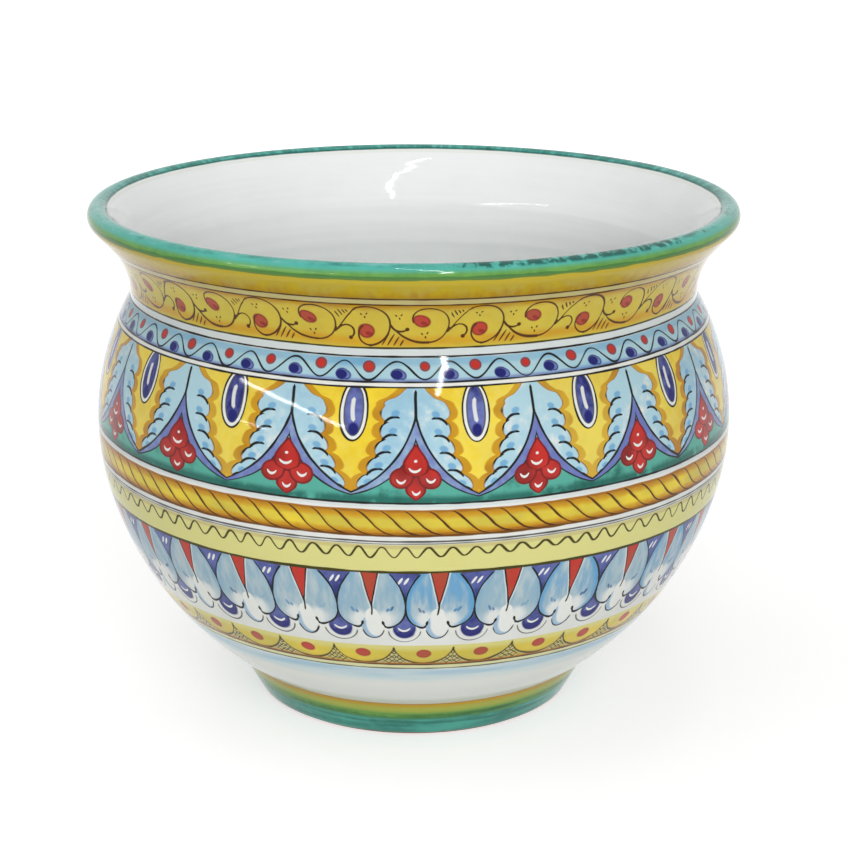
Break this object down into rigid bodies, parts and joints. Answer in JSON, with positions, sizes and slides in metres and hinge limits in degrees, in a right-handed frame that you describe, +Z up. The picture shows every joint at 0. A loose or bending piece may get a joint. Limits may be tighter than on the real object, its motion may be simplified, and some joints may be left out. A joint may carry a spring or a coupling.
{
  "type": "cachepot",
  "caption": "Round-bellied glazed earthenware cachepot with a flared, rolled mouth and a low foot ring, painted with bands of traditional border ornament, to hold a potted plant.",
  "frame": {"origin": "centre of the foot's standing plane, on the pot's axis", "axes": "+Z up along the pot's axis; -Y is the side that faces the camera in the picture"},
  "size_m": [0.36, 0.36, 0.285],
  "materials": {
    "green_glaze": "brushed green over tin glaze, glossy, with an unglazed standing edge",
    "painted_white_glaze": "painted bands on white tin glaze, glossy",
    "yellow_glaze": "yellow and ochre scroll band on white tin glaze, glossy",
    "turquoise_glaze": "turquoise over ochre on white tin glaze, glossy"
  },
  "bodies": {
    "root": {"foot_ring": "green_glaze", "bowl": "painted_white_glaze", "neck_collar": "yellow_glaze", "flared_lip": "turquoise_glaze"}
  },
  "joints": []
}
